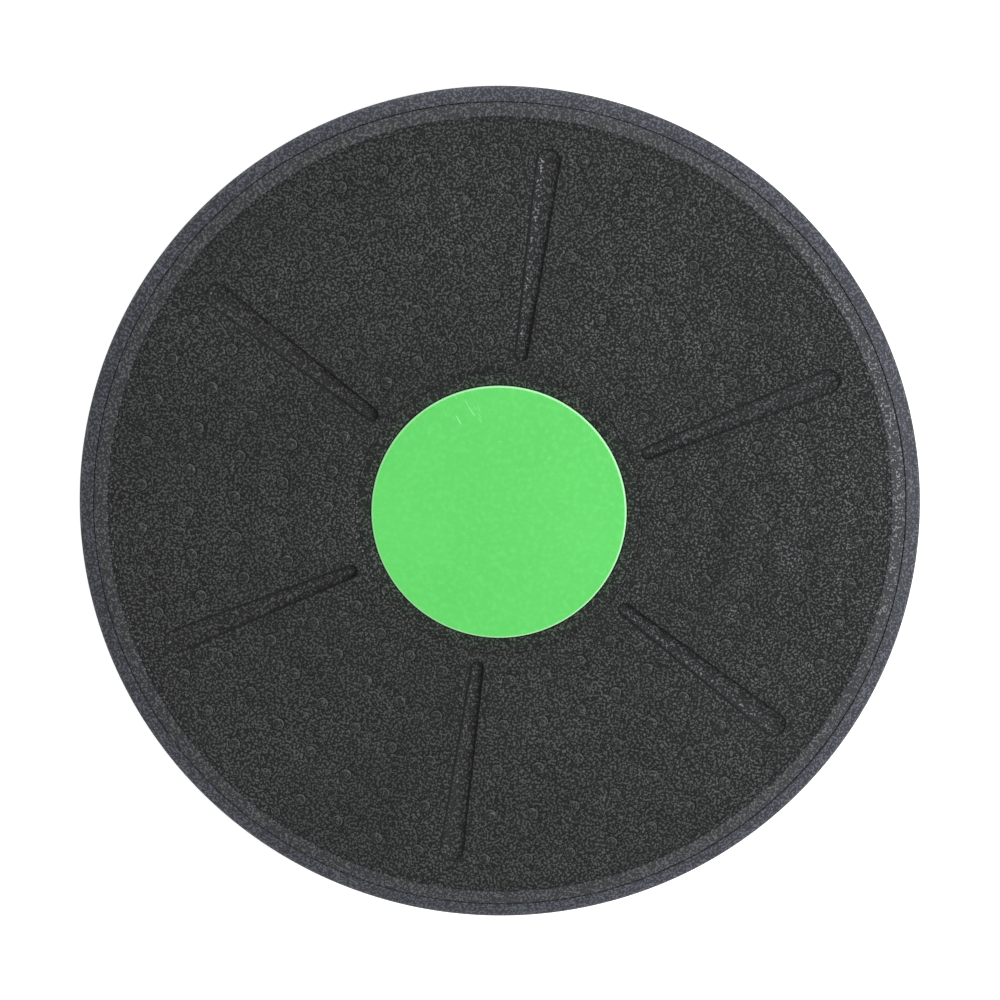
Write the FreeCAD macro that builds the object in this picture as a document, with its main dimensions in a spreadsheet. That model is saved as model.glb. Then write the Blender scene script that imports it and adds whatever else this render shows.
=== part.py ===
import FreeCAD, Part
import Sketcher
import math
import os

"""A round wobble and twist board, 36 cm across, as a parametric FreeCAD document.

The black deck has six tapered grooves and rings of round grip nubs, and a ring round its edge. It turns
without limit on a thrust ball race, round the hub of a hollow green dome that rocks on the floor.
Millimetres, +Z up. The origin is the middle of the small flat under the dome, and the first groove points
along +Y.
"""

V = FreeCAD.Vector
doc = FreeCAD.newDocument("BalanceBoard")

# ---------------------------------------------------------------- driving dimensions
SIZES = {
    # deck
    "deck_radius": 180.0,
    "deck_top": 79.0,
    "deck_web": 3.6,
    "bevel_radius": 166.0,
    "bevel_drop": 1.5,
    "shoulder_drop": 5.8,
    "shoulder_arc": 8.6,
    "skirt_depth": 20.0,
    "skirt_wall": 3.5,
    "skirt_draft": 1.0,
    "line_width": 0.5,
    "line_depth": 0.35,
    "rib_depth": 4.5,
    "rib_thick": 2.2,
    "rib_ring_inner": 96.0,
    "rib_ring_outer": 136.0,
    "rib_start": 66.3,
    "rib_end": 168.6,
    # rim ring
    "panel_radius": 173.2,
    "ring_inner": 173.5,
    "ring_chamfer": 0.4,
    "ledge_inner": 169.5,
    "ledge_thick": 2.4,
    # deck centre
    "collar_radius": 60.8,
    "collar_step": 0.4,
    "recess_radius": 54.8,
    "lip_top": 71.5,
    "bore_radius": 46.0,
    "housing_radius": 66.0,
    "housing_bottom": 64.4,
    # grooves
    "groove_outer": 150.0,
    "groove_inner": 68.4,
    "groove_outer_radius": 5.2,
    "groove_inner_radius": 3.0,
    "groove_lean": 1.1,
    "groove_depth": 2.2,
    # nubs
    "nub_height": 1.0,
    "nub_radius": 2.7,
    "nub_sink": 0.4,
    # thrust race
    "ball_radius": 3.0,
    "ball_circle": 57.0,
    "ball_centre": 62.0,
    "ball_gap": 0.05,
    "race_inner": 50.0,
    "race_outer": 64.0,
    "race_thick": 1.6,
    "race_groove_radius": 3.3,
    "race_seat_gap": 0.2,
    "cage_inner": 52.4,
    "cage_outer": 61.6,
    "cage_thick": 2.4,
    "cage_hole_gap": 0.15,
    # flanged bush
    "bush_bore": 43.6,
    "bush_flange_radius": 53.6,
    "bush_flange": 1.2,
    # hub carrier
    "journal_radius": 43.5,
    "journal_wall": 3.5,
    "journal_top": 73.1,
    "flange_bottom": 54.0,
    "flange_top": 58.2,
    "flange_radius": 69.6,
    "dust_lip_wall": 2.6,
    "dust_lip_top": 65.8,
    "spigot_radius": 63.4,
    "spigot_wall": 2.4,
    "spigot_depth": 3.0,
    "hub_floor_hole": 24.0,
    # screws and their bosses
    "screw_circle": 35.0,
    "screw_radius": 2.0,
    "screw_pilot": 2.05,
    "screw_clear": 2.3,
    "screw_length": 34.0,
    "screw_head_radius": 3.7,
    "screw_head": 1.8,
    "screw_slot_depth": 1.0,
    "screw_slot_wide": 0.9,
    "screw_slot_long": 4.6,
    "washer_radius": 4.4,
    "washer_thick": 0.6,
    "boss_tube": 5.8,
    # retainer plate and cover
    "retainer_radius": 54.0,
    "retainer_thick": 2.6,
    "retainer_hole": 22.0,
    "counterbore_radius": 4.9,
    "counterbore_depth": 1.5,
    "cover_radius": 54.4,
    "cover_top": 79.5,
    "cover_thick": 2.6,
    "cover_edge": 0.9,
    "peg_circle": 44.0,
    "peg_radius": 2.4,
    "peg_reach": 2.6,
    "peg_gap": 0.05,
    "cover_ring_wall": 1.6,
    "cover_ring_inset": 1.2,
    "cover_sink": 0.5,
    "peg_end_gap": 0.1,
    # dome
    "dome_ball": 75.0,
    "dome_flat": 8.0,
    "dome_turn_radius": 64.0,
    "dome_wall": 3.6,
    "dome_side": 67.2,
    "dome_shoulder": 22.0,
    "dome_boss_radius": 5.2,
    "dome_rib": 2.6,
    "dome_rib_top": 50.5,
    "pilot_spare": 1.0,
    # how far a pad starts inside what it joins, and a cut runs past it
    "overlap": 1.0,
}

GROOVES = 6
BALLS = 24
SCREWS = 6
DECK_RIBS = 12
DOME_RIBS = 6
FULL_TURN = 360.0
QUARTER_TURN = 90.0
SECTOR = FULL_TURN / GROOVES
# Each ring of nubs between two grooves: radius, how many, and the angle from one to the next in degrees.
NUB_RINGS = [(153.0, 8, 7.0), (133.0, 7, 7.92), (113.0, 6, 9.0), (93.0, 5, 10.5), (73.2, 4, 12.3)]

sheet = doc.addObject("Spreadsheet::Sheet", "Params")
for row, (alias, size) in enumerate(SIZES.items(), start=1):
    sheet.set(f"A{row}", alias)
    sheet.set(f"B{row}", str(size))
    sheet.setAlias(f"B{row}", alias)
doc.recompute()


def size(alias):
    """The value that the sheet holds."""
    return float(sheet.get(alias))


def terms(words):
    """The (sign, word) pairs of a sum such as "deck_top - deck_web"."""
    sign = 1
    for word in words.split():
        if word in "+-":
            sign = 1 if word == "+" else -1
        else:
            yield sign, word


def number(words):
    """The value of a sum of cells and plain numbers."""
    return sum(sign * (size(word) if word in SIZES else float(word)) for sign, word in terms(words))


def bound(words):
    """The same sum as an expression that reads the sheet."""
    cells = [(sign, f"Params.{word}" if word in SIZES else word) for sign, word in terms(words)]
    return " ".join(("+ " if sign > 0 else "- ") + cell for sign, cell in cells).removeprefix("+ ")


# ---------------------------------------------------------------- helpers
def origin_plane(body, role):
    return next(f for f in body.Origin.OriginFeatures if f.Role == role)


def new_body(name):
    body = doc.addObject("PartDesign::Body", name)
    body.Label = name
    return body


def new_sketch(body, name, role, height=None):
    sketch = body.newObject("Sketcher::SketchObject", name)
    sketch.AttachmentSupport = (origin_plane(body, role), [""])
    sketch.MapMode = "FlatFace"
    if height:
        sketch.setExpression("AttachmentOffset.Base.z", bound(height))
    return sketch


def pin_point(sketch, edge, end, point):
    """Fixes one end of an edge at a pair of sums, or on an axis where the sum is 0."""
    for kind, axis, words in (("DistanceX", -2, point[0]), ("DistanceY", -1, point[1])):
        if words == "0":
            sketch.addConstraint(Sketcher.Constraint("PointOnObject", edge, end, axis))
        else:
            made = sketch.addConstraint(Sketcher.Constraint(kind, edge, end, number(words)))
            sketch.setExpression(f"Constraints[{made}]", bound(words))


def arc_middle(a, b, radius):
    """The middle of the shorter arc from a to b, which turns left for a positive radius."""
    chord = b.sub(a)
    half = chord.Length / 2
    rise = abs(radius) - math.sqrt(radius * radius - half * half)
    right = V(chord.y, -chord.x, 0).normalize()
    return a + chord * 0.5 + right * (rise if radius > 0 else -rise)


def outline(sketch, points):
    """A closed outline of points (x, y). One with a third word, "radius" or "-radius", starts an arc."""
    places = [V(number(p[0]), number(p[1]), 0) for p in points]
    count = len(points)
    for i, point in enumerate(points):
        a, b = places[i], places[(i + 1) % count]
        if len(point) == 3:
            turn = -1 if point[2][0] == "-" else 1
            radius = number(point[2].lstrip("-"))
            sketch.addGeometry(Part.Arc(a, arc_middle(a, b, turn * radius), b), False)
        else:
            sketch.addGeometry(Part.LineSegment(a, b), False)
    # An arc keeps its ends in counterclockwise order, so a clockwise one starts at its second end.
    starts = [2 if len(p) == 3 and p[2][0] == "-" else 1 for p in points]
    for i, point in enumerate(points):
        following = (i + 1) % count
        joined = (i, 3 - starts[i], following, starts[following])
        sketch.addConstraint(Sketcher.Constraint("Coincident", *joined))
        pin_point(sketch, i, starts[i], point)
        if len(point) == 3:
            words = point[2].lstrip("-")
            made = sketch.addConstraint(Sketcher.Constraint("Radius", i, number(words)))
            sketch.setExpression(f"Constraints[{made}]", bound(words))


def revolved(body, name, points, kind="PartDesign::Revolution"):
    sketch = new_sketch(body, name + "_profile", "XZ_Plane")
    outline(sketch, points)
    feature = body.newObject(kind, name)
    feature.Profile = sketch
    feature.ReferenceAxis = (sketch, ["V_Axis"])
    feature.Angle = FULL_TURN
    return feature


def circle(sketch, x, y, radius):
    """A circle centred at a pair of sums."""
    made = sketch.addGeometry(Part.Circle(V(number(x), number(y), 0), V(0, 0, 1), number(radius)), False)
    size = sketch.addConstraint(Sketcher.Constraint("Radius", made, number(radius)))
    sketch.setExpression(f"Constraints[{size}]", bound(radius))
    pin_point(sketch, made, 3, (x, y))


def pad(body, name, sketch, length, down=False):
    feature = body.newObject("PartDesign::Pad", name)
    feature.Profile = sketch
    feature.setExpression("Length", bound(length))
    feature.Reversed = down
    return feature


def pocket(body, name, sketch, depth):
    """A hole that goes down from its sketch."""
    feature = body.newObject("PartDesign::Pocket", name)
    feature.Profile = sketch
    feature.setExpression("Length", bound(depth))
    return feature


def polar(body, name, features, count):
    feature = body.newObject("PartDesign::PolarPattern", name)
    feature.Originals = features
    feature.Axis = (origin_plane(body, "Z_Axis"), [""])
    feature.Angle = FULL_TURN
    feature.Occurrences = count
    body.Tip = feature
    return feature


def radial_wall(body, name, points, thick):
    """A wall along +X, centred on it, from its outline in the XZ plane."""
    sketch = new_sketch(body, name + "_outline", "XZ_Plane")
    outline(sketch, points)
    feature = pad(body, name, sketch, thick)
    feature.Midplane = True
    return feature


def turned(shape, angle):
    copy = shape.copy()
    copy.rotate(V(0, 0, 0), V(0, 0, 1), angle)
    return copy


def around(shapes, count):
    """Copies of some shapes, evenly round the Z axis."""
    return [turned(shape, FULL_TURN / count * k) for k in range(count) for shape in shapes]


def feature_of(name, shape):
    feature = doc.addObject("Part::Feature", name)
    feature.Label = name
    feature.Shape = shape
    feature.Placement = FreeCAD.Placement()
    return feature


# ---------------------------------------------------------------- deck
def deck_shell():
    """The moulded panel: web, bevelled edge and collar, with shallow ring and radial ribs under it."""
    body = new_body("deck_shell")
    web_bottom = "deck_top - deck_web"
    rib_bottom = "deck_top - deck_web - rib_depth"
    points = [("recess_radius", web_bottom)]
    for ring in ("rib_ring_inner", "rib_ring_outer"):
        points += [
            (ring, web_bottom),
            (ring, rib_bottom),
            (ring + " + rib_thick", rib_bottom),
            (ring + " + rib_thick", web_bottom),
        ]
    points += [
        ("panel_radius", web_bottom),
        ("panel_radius", "deck_top - bevel_drop"),
        ("bevel_radius + line_width", "deck_top"),
        ("bevel_radius", "deck_top - line_depth"),
        ("bevel_radius - line_width", "deck_top"),
        ("collar_radius + line_width", "deck_top"),
        ("collar_radius", "deck_top - collar_step"),
        ("recess_radius", "deck_top - collar_step"),
    ]
    revolved(body, "deck_plate", points)
    rib = [
        ("rib_start", web_bottom + " + overlap"),
        ("rib_start", rib_bottom),
        ("rib_end", rib_bottom),
        ("rib_end", web_bottom + " + overlap"),
    ]
    wall = radial_wall(body, "deck_rib", rib, "rib_thick")
    polar(body, "deck_ribs", [wall], DECK_RIBS)
    return body


def bearing_housing():
    """The ring under the deck's middle that holds the bush and the upper race."""
    body = new_body("bearing_housing")
    web_bottom = "deck_top - deck_web"
    points = [
        ("bore_radius", "housing_bottom + race_thick"),
        ("race_outer + race_seat_gap", "housing_bottom + race_thick"),
        ("race_outer + race_seat_gap", "housing_bottom"),
        ("housing_radius", "housing_bottom"),
        ("housing_radius", web_bottom),
        ("recess_radius", web_bottom),
        ("recess_radius", "lip_top"),
        ("bore_radius", "lip_top"),
    ]
    revolved(body, "housing_ring", points)
    return body


def rim_ring():
    """The ring round the deck: a rounded shoulder over a skirt, with a ledge under the deck's edge."""
    body = new_body("rim_ring")
    web_bottom = "deck_top - deck_web"
    points = [
        ("ledge_inner", web_bottom + " - ledge_thick"),
        ("deck_radius - skirt_wall - skirt_draft", web_bottom + " - ledge_thick"),
        ("deck_radius - skirt_wall", "deck_top - skirt_depth"),
        ("deck_radius", "deck_top - skirt_depth"),
        ("deck_radius", "deck_top - shoulder_drop", "shoulder_arc"),
        ("ring_inner + ring_chamfer", "deck_top - bevel_drop"),
        ("ring_inner", "deck_top - bevel_drop - ring_chamfer"),
        ("ring_inner", web_bottom),
        ("ledge_inner", web_bottom),
    ]
    revolved(body, "rim_section", points)
    return body


def groove_outline(outer_radius, inner_radius, height):
    """A closed tapered slot along +Y: two round ends joined by the straight lines that touch both."""
    outer, inner = size("groove_outer"), size("groove_inner")
    lean = (outer_radius - inner_radius) / (outer - inner)
    side = V(math.sqrt(1 - lean * lean), -lean, 0)
    mirrored = V(-side.x, side.y, 0)
    top, low = V(0, outer, height), V(0, inner, height)
    far, near = V(0, outer_radius, 0), V(0, inner_radius, 0)
    right_far, left_far = top + side * outer_radius, top + mirrored * outer_radius
    right_near, left_near = low + side * inner_radius, low + mirrored * inner_radius
    edges = [
        Part.makeLine(right_near, right_far),
        Part.Arc(right_far, top + far, left_far).toShape(),
        Part.makeLine(left_far, left_near),
        Part.Arc(left_near, low - near, right_near).toShape(),
    ]
    return Part.Wire(edges)


def groove_cutters():
    """Six tapered slots with leaning walls and a flat floor."""
    wide, narrow, lean = size("groove_outer_radius"), size("groove_inner_radius"), size("groove_lean")
    depth, top = size("groove_depth"), size("deck_top")
    upper = groove_outline(wide + lean, narrow + lean, top + depth)
    lower = groove_outline(wide - lean, narrow - lean, top - depth)
    trough = Part.makeLoft([upper, lower], True, True)
    return feature_of("groove_cutters", Part.makeCompound(around([trough], GROOVES)))


def nub():
    """A low round cap whose foot is sunk a little into the deck."""
    height, foot, sink = size("nub_height"), size("nub_radius"), size("nub_sink")
    ball = (foot * foot + height * height) / (2 * height)
    low = math.degrees(math.asin((ball - height - sink) / ball))
    return Part.makeSphere(ball, V(0, 0, size("deck_top") + height - ball), V(0, 0, 1), low, QUARTER_TURN)


def nubs():
    """Five rings of nubs between each two grooves, centred on the middle of the gap."""
    cap = nub()
    sector = []
    for radius, count, step in NUB_RINGS:
        out = cap.copy()
        out.translate(V(0, radius, 0))
        sector += [turned(out, SECTOR / 2 + (i - (count - 1) / 2) * step) for i in range(count)]
    return feature_of("nubs", Part.makeCompound(around(sector, GROOVES)))


def deck():
    shell = deck_shell()
    doc.recompute()
    cut = doc.addObject("Part::Cut", "grooved_deck")
    cut.Base = shell
    cut.Tool = groove_cutters()
    fused = doc.addObject("Part::MultiFuse", "deck")
    fused.Shapes = [cut, nubs()]
    fused.Label = "deck"
    return fused


def flanged_bush():
    body = new_body("flanged_bush")
    points = [
        ("bush_bore", "housing_bottom + race_thick"),
        ("bore_radius", "housing_bottom + race_thick"),
        ("bore_radius", "lip_top"),
        ("bush_flange_radius", "lip_top"),
        ("bush_flange_radius", "lip_top + bush_flange"),
        ("bush_bore", "lip_top + bush_flange"),
    ]
    revolved(body, "bush_ring", points)
    return body


# ---------------------------------------------------------------- thrust race
def race(name, flat_side, grooved_side):
    """A pressed ring with a shallow track for the balls on one side."""
    body = new_body(name + "_blank")
    points = [
        ("race_inner", flat_side),
        ("race_outer", flat_side),
        ("race_outer", grooved_side),
        ("race_inner", grooved_side),
    ]
    if number(grooved_side) > number(flat_side):
        ring = points
    else:
        ring = points[::-1]
    revolved(body, name + "_ring", ring)
    return body


def track(name, body):
    """The ball track, cut as a torus round the balls' circle."""
    torus = doc.addObject("Part::Torus", name + "_track")
    torus.setExpression("Radius1", "Params.ball_circle")
    torus.setExpression("Radius2", "Params.race_groove_radius")
    side = "+" if name == "lower_race" else "-"
    lift = f"Params.ball_centre {side} (Params.race_groove_radius - Params.ball_radius - Params.ball_gap)"
    torus.setExpression("Placement.Base.z", lift)
    cut = doc.addObject("Part::Cut", name)
    cut.Base = body
    cut.Tool = torus
    cut.Label = name
    return cut


def bearing_balls():
    ball = Part.makeSphere(size("ball_radius"), V(size("ball_circle"), 0, size("ball_centre")))
    return feature_of("bearing_balls", Part.makeCompound(around([ball], BALLS)))


def ball_cage():
    body = new_body("ball_cage")
    sketch = new_sketch(body, "cage_ring", "XY_Plane", "ball_centre")
    circle(sketch, "0", "0", "cage_outer")
    circle(sketch, "0", "0", "cage_inner")
    ring = pad(body, "cage_pad", sketch, "cage_thick")
    ring.Midplane = True
    holes = new_sketch(body, "cage_hole", "XY_Plane", "ball_centre")
    circle(holes, "ball_circle", "0", "ball_radius + cage_hole_gap")
    hole = pocket(body, "cage_pocket", holes, "cage_thick + cage_thick")
    hole.Midplane = True
    polar(body, "cage_pockets", [hole], BALLS)
    return body


# ---------------------------------------------------------------- hub carrier
def hub_carrier():
    """The flange on the dome, with the journal that the deck turns round and the dust lip round the balls."""
    body = new_body("hub_carrier")
    lip_inner = "flange_radius - dust_lip_wall"
    points = [
        ("hub_floor_hole", "flange_bottom"),
        ("spigot_radius - spigot_wall", "flange_bottom"),
        ("spigot_radius - spigot_wall", "flange_bottom - spigot_depth"),
        ("spigot_radius", "flange_bottom - spigot_depth"),
        ("spigot_radius", "flange_bottom"),
        ("flange_radius", "flange_bottom"),
        ("flange_radius", "dust_lip_top"),
        (lip_inner, "dust_lip_top"),
        (lip_inner, "flange_top"),
        ("journal_radius", "flange_top"),
        ("journal_radius", "journal_top"),
        ("journal_radius - journal_wall", "journal_top"),
        ("journal_radius - journal_wall", "flange_top"),
        ("hub_floor_hole", "flange_top"),
    ]
    revolved(body, "hub_ring", points)
    posts = new_sketch(body, "hub_post_circle", "XY_Plane", "flange_top - overlap")
    circle(posts, "screw_circle", "0", "boss_tube")
    post = pad(body, "hub_post", posts, "journal_top - flange_top + overlap")
    drill = new_sketch(body, "hub_post_drill", "XY_Plane", "journal_top")
    circle(drill, "screw_circle", "0", "screw_clear")
    hole = pocket(body, "hub_post_hole", drill, "journal_top - flange_bottom + overlap")
    polar(body, "hub_posts", [post, hole], SCREWS)
    return body


# ---------------------------------------------------------------- retainer, screws and cover
def retainer_plate():
    body = new_body("retainer_plate")
    sketch = new_sketch(body, "retainer_ring", "XY_Plane", "journal_top")
    circle(sketch, "0", "0", "retainer_radius")
    circle(sketch, "0", "0", "retainer_hole")
    pad(body, "retainer_pad", sketch, "retainer_thick")
    top = "journal_top + retainer_thick"
    wide = new_sketch(body, "counterbore_circle", "XY_Plane", top)
    circle(wide, "screw_circle", "0", "counterbore_radius")
    seat = pocket(body, "counterbore", wide, "counterbore_depth")
    narrow = new_sketch(body, "clearance_circle", "XY_Plane", top)
    circle(narrow, "screw_circle", "0", "screw_clear")
    hole = pocket(body, "clearance_hole", narrow, "retainer_thick")
    polar(body, "screw_seats", [seat, hole], SCREWS)
    pegs = new_sketch(body, "peg_hole_circle", "XY_Plane", top)
    circle(pegs, "0", "peg_circle", "peg_radius + peg_gap")
    peg_hole = pocket(body, "peg_hole", pegs, "retainer_thick")
    polar(body, "peg_holes", [peg_hole], SCREWS)
    return body


def screw_seat():
    return number("journal_top + retainer_thick - counterbore_depth")


def retainer_washers():
    seat = screw_seat()
    ring = Part.makeCylinder(size("washer_radius"), size("washer_thick"), V(size("screw_circle"), 0, seat))
    hole = Part.makeCylinder(size("screw_clear"), size("washer_thick"), V(size("screw_circle"), 0, seat))
    washer = ring.cut(hole)
    return feature_of("retainer_washers", Part.makeCompound(around([washer], SCREWS)))


def retainer_screws():
    """Pan-head screws with a cross slot and a pointed end."""
    seat = screw_seat() + size("washer_thick")
    radius, length, head = size("screw_radius"), size("screw_length"), size("screw_head")
    tip, blunt = 2 * radius, radius / 4
    middle = V(size("screw_circle"), 0, seat)
    shank = Part.makeCylinder(radius, length - tip, middle, V(0, 0, -1))
    point = Part.makeCone(radius, blunt, tip, middle - V(0, 0, length - tip), V(0, 0, -1))
    cap = Part.makeCylinder(size("screw_head_radius"), head, middle)
    cap = cap.makeFillet(head / 2, [e for e in cap.Edges if e.BoundBox.ZMin > seat + head / 2])
    long, wide, deep = size("screw_slot_long"), size("screw_slot_wide"), size("screw_slot_depth")
    corner = middle + V(-long / 2, -wide / 2, head - deep)
    slot = Part.makeBox(long, wide, deep + size("overlap"), corner)
    cross = slot.copy()
    cross.rotate(middle, V(0, 0, 1), QUARTER_TURN)
    screw = cap.fuse([shank, point]).cut(slot.fuse(cross)).removeSplitter()
    return feature_of("retainer_screws", Part.makeCompound(around([screw], SCREWS)))


def cover_disc():
    """The green lid over the screws, with a stiffening ring and six pegs that press into the retainer."""
    body = new_body("cover_disc")
    low = "cover_top - cover_thick"
    points = [
        ("0", low),
        ("cover_radius - cover_edge", low),
        ("cover_radius", low + " + cover_edge"),
        ("cover_radius", "cover_top - cover_edge", "cover_edge"),
        ("cover_radius - cover_edge", "cover_top"),
        ("0", "cover_top"),
    ]
    revolved(body, "cover_plate", points)
    ring = new_sketch(body, "cover_ring_circles", "XY_Plane", low + " + cover_sink")
    ring_outer = "cover_radius - cover_edge - cover_ring_inset"
    circle(ring, "0", "0", ring_outer)
    circle(ring, "0", "0", ring_outer + " - cover_ring_wall")
    space = "cover_top - cover_thick - journal_top - retainer_thick"
    pad(body, "cover_ring", ring, space + " + cover_sink", down=True)
    pegs = new_sketch(body, "peg_circle_sketch", "XY_Plane", low + " + cover_sink")
    circle(pegs, "0", "peg_circle", "peg_radius")
    peg = pad(body, "peg", pegs, space + " + peg_reach + cover_sink - peg_end_gap", down=True)
    polar(body, "pegs", [peg], SCREWS)
    return body


# ---------------------------------------------------------------- dome
def dome_points():
    """The corners of the dome's wall, worked out from its ball, its flat and its side."""
    ball, flat, wall = size("dome_ball"), size("dome_flat"), size("dome_wall")
    centre = math.sqrt(ball * ball - flat * flat)
    turn = size("dome_turn_radius")
    drop = math.sqrt(ball * ball - turn * turn)
    shoulder = size("dome_shoulder")
    shoulder_centre = V(turn - shoulder * turn / ball, 0, centre - drop + shoulder * drop / ball)
    along = V(turn / ball, 0, -drop / ball)
    return {
        "flat": V(flat, 0, 0),
        "turn": shoulder_centre + along * shoulder,
        "side": shoulder_centre + V(shoulder, 0, 0),
        "inner_side": shoulder_centre + V(shoulder - wall, 0, 0),
        "inner_turn": shoulder_centre + along * (shoulder - wall),
        "inner_floor": V(0, 0, centre - (ball - wall)),
        "middle": V(0, 0, centre),
        "shoulder_middle": shoulder_centre,
    }


def arc_between(a, b, middle, radius):
    """The arc from a to b round a centre, in the XZ plane."""
    half = ((a.sub(middle)).normalize() + (b.sub(middle)).normalize()).normalize()
    return Part.Arc(a, middle + half * radius, b).toShape()


def dome_shell():
    p = dome_points()
    ball, wall, shoulder = size("dome_ball"), size("dome_wall"), size("dome_shoulder")
    top = size("flange_bottom")
    outer_rim, inner_rim = V(p["side"].x, 0, top), V(p["inner_side"].x, 0, top)
    edges = [
        Part.makeLine(V(0, 0, 0), p["flat"]),
        arc_between(p["flat"], p["turn"], p["middle"], ball),
        arc_between(p["turn"], p["side"], p["shoulder_middle"], shoulder),
        Part.makeLine(p["side"], outer_rim),
        Part.makeLine(outer_rim, inner_rim),
        Part.makeLine(inner_rim, p["inner_side"]),
        arc_between(p["inner_side"], p["inner_turn"], p["shoulder_middle"], shoulder - wall),
        arc_between(p["inner_turn"], p["inner_floor"], p["middle"], ball - wall),
        Part.makeLine(p["inner_floor"], V(0, 0, 0)),
    ]
    return Part.Face(Part.Wire(edges)).revolve(V(0, 0, 0), V(0, 0, 1), FULL_TURN)


def dome_solid_outside():
    """The dome's outside as one solid, which trims the ribs and bosses."""
    p = dome_points()
    inset = size("dome_wall") / 2
    side = p["side"].x - inset
    top = V(side, 0, size("flange_bottom"))
    low_side = V(side, 0, p["side"].z)
    turn = p["turn"] + (p["middle"].sub(p["turn"])).normalize() * inset
    floor = V(0, 0, p["middle"].z - size("dome_ball") + inset)
    edges = [
        arc_between(floor, turn, p["middle"], size("dome_ball") - inset),
        arc_between(turn, low_side, p["shoulder_middle"], size("dome_shoulder") - inset),
        Part.makeLine(low_side, top),
        Part.makeLine(top, V(0, 0, top.z)),
        Part.makeLine(V(0, 0, top.z), floor),
    ]
    return Part.Face(Part.Wire(edges)).revolve(V(0, 0, 0), V(0, 0, 1), FULL_TURN)


def rocker_dome():
    """The hollow green dome: an open bowl with six screw bosses, joined by ribs to its side and to a ring."""
    top, rib_top = size("flange_bottom"), size("dome_rib_top")
    circle_of, boss = size("screw_circle"), size("dome_boss_radius")
    rib, reach = size("dome_rib"), size("dome_side")
    inside = [Part.makeBox(reach, rib, rib_top, V(0, -rib / 2, 0))]
    inside += [Part.makeCylinder(boss, top, V(circle_of, 0, 0))]
    ring = Part.makeCylinder(circle_of + rib / 2, rib_top)
    ring = ring.cut(Part.makeCylinder(circle_of - rib / 2, rib_top))
    turns = around(inside, DOME_RIBS)
    braces = turns[0].fuse(turns[1:] + [ring]).common(dome_solid_outside())
    seat = number("journal_top + retainer_thick - counterbore_depth + washer_thick - screw_length")
    low = seat - size("pilot_spare")
    pilot = Part.makeCylinder(size("screw_pilot"), top - low, V(circle_of, 0, low))
    return feature_of("rocker_dome", dome_shell().fuse(braces).removeSplitter().cut(around([pilot], SCREWS)))


# ---------------------------------------------------------------- build, check and write
def checked(nodes):
    """Stops on a failed object, and on a sub-part that is empty, invalid or not in the right pieces."""
    broken = [o.Label for o in doc.Objects if {"Invalid", "Error"} & set(o.State)]
    if broken:
        raise SystemExit(f"failed objects: {broken}")
    for node, pieces in nodes.items():
        shape = node.Shape
        if shape.isNull() or not shape.isValid() or len(shape.Solids) != pieces:
            raise SystemExit(f"{node.Label}: not {pieces} valid solids, but {len(shape.Solids)}")
        print(f"{node.Label}: {len(shape.Solids)} solids, {shape.Volume / 1000:.2f} cm3")


def main():
    nodes = {
        deck(): 1,
        rim_ring(): 1,
        bearing_housing(): 1,
        flanged_bush(): 1,
        track("upper_race", race("upper_race", "housing_bottom + race_thick", "housing_bottom")): 1,
        track("lower_race", race("lower_race", "flange_top", "flange_top + race_thick")): 1,
        bearing_balls(): BALLS,
        ball_cage(): 1,
        hub_carrier(): 1,
        rocker_dome(): 1,
        retainer_plate(): 1,
        retainer_washers(): SCREWS,
        retainer_screws(): SCREWS,
        cover_disc(): 1,
    }
    doc.recompute()
    checked(nodes)
    os.makedirs("parts", exist_ok=True)
    for node in nodes:
        node.Shape.exportStep(f"parts/{node.Label}.step")


main()
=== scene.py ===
import math

import bmesh
import bpy
from mathutils import Matrix, Vector
from mathutils.geometry import delaunay_2d_cdt
from mathutils.kdtree import KDTree


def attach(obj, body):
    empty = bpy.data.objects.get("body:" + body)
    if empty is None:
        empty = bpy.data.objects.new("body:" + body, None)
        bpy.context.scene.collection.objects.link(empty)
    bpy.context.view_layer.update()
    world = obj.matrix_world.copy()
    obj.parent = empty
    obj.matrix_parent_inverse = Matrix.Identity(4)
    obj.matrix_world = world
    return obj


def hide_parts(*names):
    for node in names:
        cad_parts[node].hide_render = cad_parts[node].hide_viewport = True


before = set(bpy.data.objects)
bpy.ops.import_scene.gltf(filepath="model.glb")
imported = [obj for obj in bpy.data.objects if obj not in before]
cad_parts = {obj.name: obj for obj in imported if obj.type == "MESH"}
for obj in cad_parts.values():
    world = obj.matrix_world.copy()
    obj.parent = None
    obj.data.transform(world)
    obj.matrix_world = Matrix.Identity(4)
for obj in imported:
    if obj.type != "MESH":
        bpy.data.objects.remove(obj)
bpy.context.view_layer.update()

# Shapes are in millimetres: radii from the turning axis and heights above the floor.
MM = 0.001
SEGMENTS = 288
SECTORS = 6
SECTOR_ANGLE = math.tau / SECTORS

DECK_TOP = 79.0
PANEL_UNDER = 75.4
PANEL_OUTER = 173.2
PLANE_OUTER, PLANE_INNER = 164.9, 61.9
COLLAR_WALL = 54.8
COVER_TOP = 79.5
HUB_FLOOR = 58.2
POST_CIRCLE, PEG_CIRCLE = 35, 44

# ---------------------------------------------------------------- mesh building


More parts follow.
